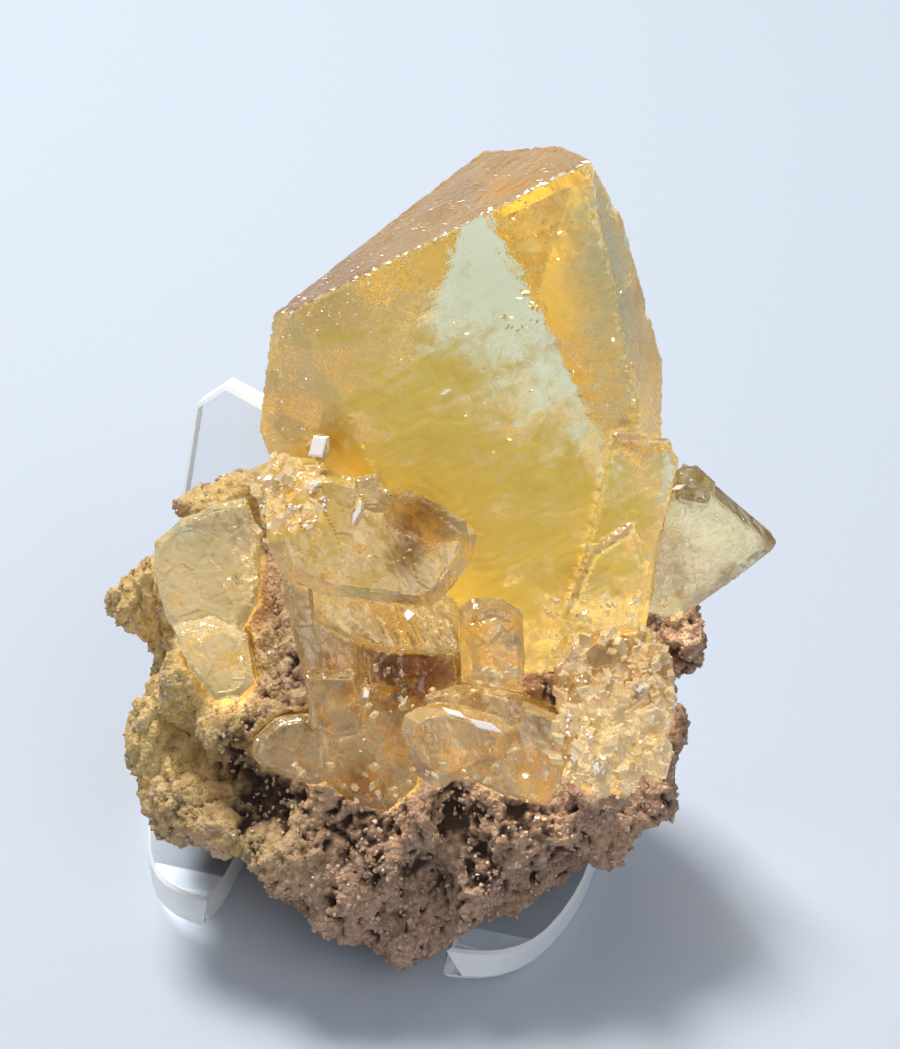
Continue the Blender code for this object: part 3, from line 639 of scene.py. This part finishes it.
def stub(material):
    """The short pale prism in the middle."""
    look = look_of(step=0.02, pit=0.02, line=0.02, facet=0.12, wear=0.12)
    make_crystals("barite_stub", material, look,
                  lambda u, v: 0.4,
                  lambda u, v: 0.35 * smooth(-11, -8, v),
                  lambda u, v: 0.1)


def lower_left(material):
    """The smooth peach crystals under the front blades."""
    look = look_of(step=0.03, pit=0.02, line=0.02, facet=0.18, wear=0.15, facet_size=2.6)
    amber = ((-4.0, -14.5, 4.5, 0.9), (-9.0, -27.0, 3.5, 0.5), (-12.5, -14.0, 1.6, 0.4))
    make_crystals("barite_lower_left", material, look,
                  lambda u, v: 0.5 - spots(u, v, amber) * 0.4,
                  lambda u, v: 0.15 + spots(u, v, amber),
                  lambda u, v: 0.2)


def lower_right(material):
    """The rounded prism and the blocks beside it."""
    look = look_of(step=0.02, pit=0.02, line=0.02, facet=0.15, wear=0.12)
    dark = ((3.5, -23.5, 1.8, 0.5), (-3.0, -24.5, 2.0, 0.4), (9.0, -20.0, 2.0, 0.3))
    make_crystals("barite_lower_right", material, look,
                  lambda u, v: 0.4,
                  lambda u, v: 0.2 * smooth(-19, -17, v) + spots(u, v, dark),
                  lambda u, v: 0.15)


def druse(material):
    """The crust of small crystals at the lower right, browner in its upper half."""
    look = look_of(step=0.01, pit=0.01, line=0.01, facet=0.5, wear=0.05, facet_size=1.3)
    make_crystals("barite_druse", material, look,
                  lambda u, v: 0.55 + 0.35 * smooth(-20, -16, v),
                  lambda u, v: 0.1 + 0.45 * smooth(-20, -16, v),
                  lambda u, v: 0.3)


# Glints and inner planes

# The range of a flake's random turn, in radians
ANY_TURN = (0, 3.1)


def facing_light(spot, picker, spread):
    """A direction that throws the key light from a spot to the camera, give or take."""
    to_camera = (eye_place() - spot).normalized()
    to_key = (Vector(KEY["place"]) * MM - spot).normalized()
    return (to_camera + to_key).normalized() + loose(picker, spread)


def loose(picker, spread):
    """A small random direction."""
    return Vector([picker.gauss(0, spread) for _ in range(3)])


# A flake's outline, and the scale and level of its three rings
RHOMB = ((1.0, 0.15), (0.25, 1.0), (-1.0, -0.15), (-0.25, -1.0))
FLAKE_RINGS = ((0.8, 0.5), (1.0, 0.0), (0.8, -0.5))


def add_flake(form, spot, facing, sizes, turn):
    """A thin rhombic flake with a bevelled rim, sized in millimetres."""
    upright = facing.to_track_quat("Z", "Y").to_matrix() @ Matrix.Rotation(turn, 3, "Z")
    rings = []
    for scale, level in FLAKE_RINGS:
        ring = []
        for along, across in RHOMB:
            local = Vector((along * sizes[0] * scale, across * sizes[1] * scale, level * sizes[2]))
            ring.append(form.verts.new(spot + upright @ local * MM))
        rings.append(ring)
    form.faces.new(rings[0])
    form.faces.new(reversed(rings[-1]))
    for upper, lower in zip(rings, rings[1:]):
        for index in range(len(RHOMB)):
            after = (index + 1) % len(RHOMB)
            form.faces.new((upper[index], lower[index], lower[after], upper[after]))


# The large crystal's leaning front face: its depth in millimetres where u and v are 0, and
# how much it leans along u and v
FRONT_DEPTH = 10.3
FRONT_LEAN = (0.004, 0.232)


def front_depth(u, v):
    """How far the large crystal's front face stands towards the eye."""
    return FRONT_DEPTH + FRONT_LEAN[0] * u + FRONT_LEAN[1] * v


def on_front(trees, u, v):
    """The foremost spot that the eye sees at a place, and its normal; none off the crystals."""
    eye = eye_place()
    spot, normal = trees["all"].ray_cast(eye, seen(u, v, 0) - eye)[:2]
    if spot is None or trees["crystals"].find_nearest(spot)[3] > 0.1 * MM:
        return None, None
    return spot, normal


def inside(tree, spot, margin):
    """Whether a spot lies inside a solid, at least a margin in millimetres from its skin."""
    nearest, normal = tree.find_nearest(spot)[:2]
    return (spot - nearest).dot(normal) < -margin * MM


def glint_material(name, colour, metallic):
    """A small bright face that catches the light."""
    material, tree, shader = new_material(name)
    grain = noise_of(tree, place(tree), 0.3, detail=2.0)
    deeper = tuple(0.8 * part for part in colour)
    tree.links.new(blend_colours(tree, grain, deeper, colour), shader.inputs["Base Color"])
    tree.links.new(remap(tree, grain, 0.3, 0.7, 0.08, 0.25), shader.inputs["Roughness"])
    shader.inputs["Metallic"].default_value = metallic
    shader.inputs["IOR"].default_value = BARITE_IOR
    return material


# Clusters of inner flakes: least and most u, v and depth below the face, count and size
INNER_FLAKES = (
    ((5.8, 11.8), (26.0, 32.5), (0.5, 1.0), 34, 0.26),
    ((5.2, 8.9), (19.3, 23.6), (0.6, 2.6), 26, 0.34),
    ((16.0, 20.6), (17.5, 26.5), (0.8, 3.0), 46, 0.36),
    ((14.0, 15.6), (28.4, 33.0), (0.5, 1.6), 20, 0.26),
    ((-1.0, 11.0), (7.0, 16.0), (0.8, 4.0), 26, 0.30),
    ((-8.0, 4.0), (14.0, 22.0), (0.6, 3.0), 14, 0.24),
    ((12.0, 19.0), (11.0, 17.0), (0.6, 3.0), 16, 0.26),
)


FLAKE_SEED = 23
FLAKE_MARGIN = 0.55
FLAKE_THICKNESS = 0.04


def make_inner_flakes():
    """Golden flakes on the breaks inside the large crystal."""
    picker = random.Random(FLAKE_SEED)
    form = bmesh.new()
    crystal = skin_tree(["barite_main"])
    for across, upward, below, count, size in INNER_FLAKES:
        for _ in range(count):
            u, v = picker.uniform(*across), picker.uniform(*upward)
            spot = seen(u, v, front_depth(u, v) - picker.uniform(*below))
            if not inside(crystal, spot, FLAKE_MARGIN):
                continue
            long = size * picker.uniform(0.5, 1.5)
            sizes = (long, long * picker.uniform(0.25, 0.7), FLAKE_THICKNESS)
            facing = facing_light(spot, picker, 0.22)
            add_flake(form, spot, facing, sizes, picker.uniform(*ANY_TURN))
    material = glint_material("gold_glints", (1.0, 0.86, 0.46), 0.9)
    made = add_object("inner_flakes", finish_mesh(form, "inner_flakes", FLAKE_SHARP), material)


# Bright outer faces, painted near-white as highlights: u, v, half length, half width and turn in
# degrees
OUTER_FACETS = (
    (-13.2, 7.8, 1.3, 1.15, 50),
    (-13.8, 3.9, 1.0, 0.5, 25),
    (-9.3, 1.1, 0.4, 1.35, 15),
    (-4.0, -8.9, 0.75, 0.8, 5),
    (-8.4, -17.0, 0.5, 0.45, 30),
    (-4.6, -17.6, 0.6, 0.35, 15),
    (0.4, -18.9, 1.5, 0.5, -22),
    (3.4, -20.1, 2.0, 0.5, -20),
    (22.9, 3.7, 0.35, 0.9, -25),
    (-0.5, 13.2, 0.7, 0.22, 25),
    (12.5, -23.2, 0.5, 0.6, 20),
    (14.6, -24.4, 0.7, 0.5, 60),
    (16.6, -22.2, 0.5, 0.5, 0),
    (19.0, -16.4, 0.5, 0.4, 30),
    (20.1, -19.4, 0.45, 0.5, 10),
    (21.0, -23.8, 0.5, 0.4, 70),
)

# Fields of sparkles: least and most u and v, count and largest half length
SPARKLES = (
    ((-19.2, -12.4), (-0.5, 6.0), 46, 0.42),
    ((-18.5, -14.0), (8.0, 19.0), 26, 0.2),
    ((-15.0, -8.0), (19.0, 25.0), 22, 0.2),
    ((10.8, 22.4), (-26.5, -11.0), 80, 0.4),
    ((24.0, 31.0), (0.0, 5.0), 16, 0.22),
    ((-6.0, 6.0), (-12.5, -7.5), 10, 0.2),
    ((-13.0, 12.0), (-26.0, -16.0), 18, 0.25),
)


# The large facets' thickness and lift off the crystal, in millimetres
FACET_THICKNESS = 0.18
FACET_LIFT = 0.05

# Glints on the top face's growth lines, and along the ridge
LINE_GLINTS = 70
LINE_GLINT_WIDTH = 0.035
LINE_GLINT_THICKNESS = 0.06
LINE_GLINT_TURN = 0.47
RIDGE_GLINTS = 26
RIDGE_GLINT_TURN = 0.5
SPARKLE_THICKNESS = 0.2
FACET_SEED = 5


def add_facets(form, picker, trees):
    """The larger faces, painted white and pinkish as highlights."""
    for u, v, long, wide, turn in OUTER_FACETS:
        spot, normal = on_front(trees, u, v)
        if spot is None:
            continue
        facing = normal * 1.5 + facing_light(spot, picker, 0.08)
        sizes = (long, wide, FACET_THICKNESS)
        add_flake(form, spot + normal * FACET_LIFT * MM, facing, sizes, math.radians(turn))


def add_sparkles(form, picker, trees):
    """Fields of small sparkles."""
    for across, upward, count, size in SPARKLES:
        for _ in range(count):
            spot = on_front(trees, picker.uniform(*across), picker.uniform(*upward))[0]
            if spot is None:
                continue
            long = picker.uniform(0.3, 1.0) * size
            facing = facing_light(spot, picker, 0.3)
            sizes = (long, long * 0.6, SPARKLE_THICKNESS)
            add_flake(form, spot, facing, sizes, picker.uniform(*ANY_TURN))


def add_line_glints(form, picker, trees):
    """Fine glints on the top face, in line with the ridge."""
    for _ in range(LINE_GLINTS):
        share, rise = picker.uniform(0.02, 0.9), picker.uniform(0.15, 0.85)
        height = rise * (1.2 + 3.4 * min(share / 0.7, (1 - share) / 0.3))
        u = -16 + 30 * share - 0.3 * height
        v = 21.3 + 15 * share + height
        spot = on_front(trees, u, v)[0]
        if spot is None:
            continue
        sizes = (picker.uniform(0.15, 0.7), LINE_GLINT_WIDTH, LINE_GLINT_THICKNESS)
        add_flake(form, spot, facing_light(spot, picker, 0.12), sizes, LINE_GLINT_TURN)


def add_ridge_glints(form, picker):
    """A row of glints along the ridge, larger at its right end."""
    for step in range(RIDGE_GLINTS):
        share = step / (RIDGE_GLINTS - 1) + picker.uniform(-0.015, 0.015)
        spot = seen(-15.6 + 29.4 * share, 21.3 + 15.0 * share, 15.0 + 3.5 * share)
        long = picker.uniform(0.1, 0.5) * (1.6 if share > 0.8 else 1.0)
        sizes = (long, long * 0.4, SPARKLE_THICKNESS)
        add_flake(form, spot, facing_light(spot, picker, 0.15), sizes, RIDGE_GLINT_TURN)


def make_outer_facets(trees):
    """Crystal faces in front and small sparkles that catch the light, painted near-white and pinkish
    as highlights.
    """
    picker = random.Random(FACET_SEED)
    form = bmesh.new()
    add_facets(form, picker, trees)
    add_sparkles(form, picker, trees)
    add_line_glints(form, picker, trees)
    add_ridge_glints(form, picker)
    # Near-white and pinkish: a painted highlight on the facets, sparkles and glints
    material = glint_material("painted_white_glints", (1.0, 0.90, 0.84), 0.0)
    made = add_object("outer_facets", finish_mesh(form, "outer_facets", FLAKE_SHARP), material)


# Fields of small crystals: least and most u and v, count and largest half length
SMALL_CRYSTALS = (
    ((-19.5, -12.5), (-1.5, 6.5), 70, 1.1),
    ((10.5, 23.0), (-26.5, -10.5), 200, 1.1),
    ((9.0, 24.0), (-12.0, -7.0), 50, 0.7),
    ((-21.5, -18.0), (-18.0, 0.0), 40, 0.7),
    ((-18.0, 10.0), (-28.0, -24.0), 40, 0.7),
    ((2.0, 12.0), (-18.0, -14.0), 24, 0.7),
    ((-9.0, 2.0), (-19.0, -14.0), 14, 0.6),
)


SMALL_SEED = 17
SMALL_MILK = 0.55


def make_small_crystals(material, trees):
    """Little crystals that fill the gaps between the large ones and the rock."""
    picker = random.Random(SMALL_SEED)
    form = bmesh.new()
    for across, upward, count, size in SMALL_CRYSTALS:
        for _ in range(count):
            spot = on_front(trees, picker.uniform(*across), picker.uniform(*upward))[0]
            if spot is None:
                continue
            facing = EYE_TOWARDS + loose(picker, 0.6)
            long = picker.uniform(0.35, 1.0) * size
            sizes = (long, long * picker.uniform(0.5, 0.9), long * 1.1)
            add_flake(form, spot, facing, sizes, picker.uniform(*ANY_TURN))
    mesh = finish_mesh(form, "small_crystals", FLAKE_SHARP)
    store(mesh, "milk", [SMALL_MILK] * len(mesh.vertices))
    made = add_object("small_crystals", mesh, material)
    made.visible_shadow = False


# The golden break's corners as the eye sees them, its rows, and its ripple, thickness and
# sharpest smooth edge
BREAK_CORNERS = ((5.0, 30.6, 16.4), (12.2, 34.0, 16.9), (8.9, 23.6, 12.8))
BREAK_ROWS = 40
BREAK_RIPPLE = 0.35
BREAK_THICKNESS = 0.12
BREAK_SHARP = 40


def add_break_faces(form, ends, side, order):
    """One of the golden break's two sides, in small triangles."""
    for row in range(BREAK_ROWS):
        for column in range(BREAK_ROWS - row):
            near = [(row, column), (row + 1, column), (row, column + 1)]
            form.faces.new([ends[(side, *key)] for key in near][::order])
            if column < BREAK_ROWS - row - 1:
                far = [(row + 1, column), (row + 1, column + 1), (row, column + 1)]
                form.faces.new([ends[(side, *key)] for key in far][::order])


def add_break_rim(form, ends):
    """The golden break's rim, which joins its two sides."""
    rim = [(row, 0) for row in range(BREAK_ROWS)]
    rim += [(BREAK_ROWS - step, step) for step in range(BREAK_ROWS)]
    rim += [(0, column) for column in range(BREAK_ROWS, 0, -1)]
    for index, here in enumerate(rim):
        after = rim[(index + 1) % len(rim)]
        form.faces.new((ends[(-0.5, *here)], ends[(0.5, *here)],
                        ends[(0.5, *after)], ends[(-0.5, *after)]))


def make_inner_plane():
    """The golden three-sided break under the ridge."""
    left, right, tip = (seen(*corner) for corner in BREAK_CORNERS)
    facing = (right - left).cross(tip - left).normalized()
    form = bmesh.new()
    ends = {}
    for side in (-0.5, 0.5):
        for row in range(BREAK_ROWS + 1):
            for column in range(BREAK_ROWS + 1 - row):
                down, along = row / BREAK_ROWS, column / BREAK_ROWS
                spot = left + (right - left) * along + (tip - left) * down
                ripple = BREAK_RIPPLE * noise.fractal(spot / MM * 0.5, 1.0, 2.0, 3)
                push = ripple + side * BREAK_THICKNESS
                ends[side, row, column] = form.verts.new(spot + facing * push * MM)
    add_break_faces(form, ends, -0.5, 1)
    add_break_faces(form, ends, 0.5, -1)
    add_break_rim(form, ends)
    bmesh.ops.recalc_face_normals(form, faces=form.faces[:])
    mesh = finish_mesh(form, "inner_plane", BREAK_SHARP)
    made = add_object("inner_plane", mesh, plane_material())
    made.visible_shadow = False


def plane_material():
    """A golden break, partly clear."""
    material, tree, shader = new_material("golden_break")
    cloud = noise_of(tree, place(tree), 1.6, detail=4.0, rough=0.65)
    colour = blend_colours(tree, remap(tree, cloud, 0.35, 0.65), (1.0, 0.68, 0.12), (1.0, 0.92, 0.50))
    tree.links.new(colour, shader.inputs["Base Color"])
    tree.links.new(remap(tree, cloud, 0.3, 0.7, 0.15, 0.5), shader.inputs["Roughness"])
    tree.links.new(remap(tree, cloud, 0.35, 0.65, 0.25, 0.85), shader.inputs["Transmission Weight"])
    shader.inputs["IOR"].default_value = BREAK_IOR
    return material


# Rock

# Where the rock is creamy, rusty and darker, in soft spots; the darker spots are added to its painted
# shade
CREAM = (
    (-27.0, -20.0, 9.5, 1.3),
    (-24.0, -8.0, 6.0, 0.6),
    (-31.0, -7.0, 5.0, 1.0),
    (-23.0, 3.0, 5.0, 1.0),
    (-20.0, -31.0, 5.0, 0.5),
)
RUST = (
    (-20.0, -8.0, 3.0, 1.0),
    (-22.0, -24.0, 4.0, 0.45),
    (21.5, -20.0, 2.0, 0.8),
    (17.0, -14.0, 2.5, 0.6),
    (8.0, -17.5, 3.0, 0.5),
)
DARK = (
    (-18.5, -27.0, 4.0, 0.9),
    (-22.0, -20.5, 3.0, 0.6),
    (0.8, -30.2, 3.0, 0.6),
    (8.5, -30.5, 2.2, 0.6),
    (-7.4, -30.6, 3.0, 0.55),
    (-1.6, -36.0, 2.5, 0.45),
    (21.8, -20.0, 1.2, 0.7),
)


def rock_relief(spot):
    """The rock's height at a spot in millimetres, and how far the spot is in a gap."""
    warp = noise.noise_vector(spot * 0.4) * 1.6 + noise.noise_vector(spot * 1.1) * 0.5
    drawn = spot + warp
    drawn.z *= 0.5
    knobs = noise.fractal(drawn * 0.35, 0.9, 2.1, 4)
    columns = noise.noise(Vector((drawn.x * 0.75, drawn.y * 0.75, drawn.z * 0.3)))
    pores = smooth(0.12, 0.5, noise.noise(drawn * 0.8))
    pinholes = smooth(0.15, 0.45, noise.noise(drawn * 1.9))
    grains = noise.voronoi(spot * 1.2 + warp * 0.3)[0][0]
    height = 0.5 * knobs + 0.6 * columns - 0.8 * pores - 0.35 * pinholes - 0.6 * grains + 0.4
    return height, smooth(0.35, 0.75, grains)


# Holds the relief's noise vectors, which otherwise change from run to run
RELIEF_SEED = 7


def make_rock():
    """The matrix: its solid fused fine, roughened, coloured by place, and darkened with painted shade
    by depth.
    """
    noise.seed_set(RELIEF_SEED)
    form = fused_form("matrix", ROCK_VOXEL)
    crystals = skin_tree(barite_nodes())
    stand = skin_tree(["acrylic_stand"])
    kept = {"cream": [], "rust": [], "root": [], "painted_shade": []}
    moves = []
    for vert in form.verts:
        to_crystal = crystals.find_nearest(vert.co)[3] / MM
        to_stand = stand.find_nearest(vert.co)[3] / MM
        free = smooth(0.3, 1.4, to_crystal)
        height, gap = rock_relief(vert.co / MM)
        push = height * (0.25 + 0.75 * free)
        if push > 0:
            push *= smooth(0.2, 1.2, to_stand)
        moves.append(vert.normal * push * MM)
        u, v = as_seen(vert.co)
        cream = min(spots(u, v, CREAM), 1.0)
        # Painted shade: darker where the relief sinks and in the gaps between grains, less on the
        # cream flank
        hollow_shade = (smooth(0.1, -0.9, push) * 0.9 + 0.35 * gap) * (1 - 0.55 * cream)
        kept["cream"].append(cream)
        kept["rust"].append(spots(u, v, RUST))
        kept["root"].append(1 - smooth(0.32, 0.6, to_crystal))
        kept["painted_shade"].append(hollow_shade + spots(u, v, DARK) * free)
    for vert, move in zip(form.verts, moves):
        vert.co += move
    mesh = finish_mesh(form, "matrix_rock", NEVER_SHARP)
    for name, values in kept.items():
        store(mesh, name, values)
    made = add_object("matrix_rock", mesh, rock_material())
    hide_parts("matrix")
    return mesh


# The rock's sugar: seed, tries, least and most half length, and the height it stays above
SUGAR_SEED = 11
SUGAR_TRIES = 9000
SUGAR_SIZES = (0.12, 0.36)
SUGAR_FOOT = 3.7


def make_sugar(mesh):
    """Small crystal grains grown on the rock's open sides."""
    picker = random.Random(SUGAR_SEED)
    areas = np.zeros(len(mesh.polygons))
    mesh.polygons.foreach_get("area", areas)
    roots = np.zeros(len(mesh.vertices))
    mesh.attributes["root"].data.foreach_get("value", roots)
    chosen = picker.choices(range(len(areas)), weights=areas.tolist(), k=SUGAR_TRIES)
    form = bmesh.new()
    for index in chosen:
        face = mesh.polygons[index]
        if roots[face.vertices[0]] > 0.5 or noise.noise(face.center / MM * 0.3) < -0.15:
            continue
        size = picker.uniform(*SUGAR_SIZES)
        facing = face.normal + loose(picker, 0.7)
        spot = face.center + face.normal * size * 0.2 * MM
        spot.z = max(spot.z, SUGAR_FOOT * MM)
        sizes = (size, size * picker.uniform(0.5, 1), size * 1.2)
        add_flake(form, spot, facing, sizes, picker.uniform(*ANY_TURN))
    grains = finish_mesh(form, "matrix_sugar", FLAKE_SHARP)
    made = add_object("matrix_sugar", grains, sugar_material())


# Stand, stage, camera and light

# Just over the acrylic sheet's thickness, in millimetres
THROUGH_SHEET = 3.15


def make_stand():
    """The easel: clear faces, and rims left matt by the saw and painted white as the highlight of
    their lit edges.
    """
    form = solid_form("acrylic_stand")
    tree = BVHTree.FromBMesh(form)
    for face in form.faces:
        below = face.calc_center_median() - face.normal * 0.01 * MM
        through = tree.ray_cast(below, -face.normal)[3]
        face.material_index = 0 if through and through < THROUGH_SHEET * MM else 1
    clear = acrylic_material("clear_acrylic", (0.02, 0.08), 0.9)
    # Rims: matt from the saw, and painted white as the highlight of their lit edges
    sawn_and_highlit = acrylic_material("sawn_acrylic_with_painted_highlight", (0.3, 0.5), 0.12)
    made = add_object("clear_stand", finish_mesh(form, "clear_stand", STAND_SHARP), clear)
    made.data.materials.append(sawn_and_highlit)
    made.visible_shadow = False
    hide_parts("acrylic_stand")


def make_floor():
    """A wide pale floor."""
    form = bmesh.new()
    bmesh.ops.create_grid(form, x_segments=1, y_segments=1, size=FLOOR_REACH)
    floor = bpy.data.objects.new("floor", finish_mesh(form, "floor", NEVER_SHARP))
    bpy.context.scene.collection.objects.link(floor)
    floor.data.materials.append(floor_material())


def make_camera():
    """The camera that looks down on the front."""
    camera = bpy.data.objects.new("camera", bpy.data.cameras.new("camera"))
    bpy.context.scene.collection.objects.link(camera)
    camera.location = eye_place()
    camera.rotation_euler = (math.radians(90) - EYE_TILT, 0, 0)
    camera.data.lens = LENS
    camera.data.clip_start = 0.01
    bpy.context.scene.camera = camera


def add_light(name, settings):
    """An area light that points at the specimen."""
    light = bpy.data.lights.new(name, "AREA")
    light.size = settings["size"] * MM
    light.energy = settings["power"]
    light.color = settings["colour"]
    made = bpy.data.objects.new(name, light)
    bpy.context.scene.collection.objects.link(made)
    made.location = Vector(settings["place"]) * MM
    aim = EYE_CENTRE * MM - made.location
    made.rotation_euler = aim.to_track_quat("-Z", "Y").to_euler()


def make_light():
    """A soft key from above and behind on the left, a wide fill and a pale sky."""
    add_light("key", KEY)
    add_light("fill", FILL)
    world = bpy.data.worlds.new("sky")
    world.use_nodes = True
    sky = world.node_tree.nodes["Background"]
    sky.inputs["Color"].default_value = (*SKY_COLOUR, 1.0)
    sky.inputs["Strength"].default_value = SKY_STRENGTH
    bpy.context.scene.world = world


def make_all():
    """Every piece of the specimen, its stand and its surroundings."""
    amber = crystal_material("amber_barite")
    pale = crystal_material("pale_barite")
    main_crystal()
    front_blades()
    right_wedge(amber)
    left_plates()
    stub(amber)
    lower_left(amber)
    lower_right(amber)
    druse(pale)
    trees = {"crystals": skin_tree(barite_nodes()), "all": skin_tree(["matrix"] + barite_nodes())}
    make_inner_flakes()
    make_outer_facets(trees)
    make_small_crystals(pale, trees)
    make_inner_plane()
    make_sugar(make_rock())
    make_stand()
    make_floor()
    make_camera()
    make_light()
    bpy.context.scene.view_settings.view_transform = "Standard"


make_all()
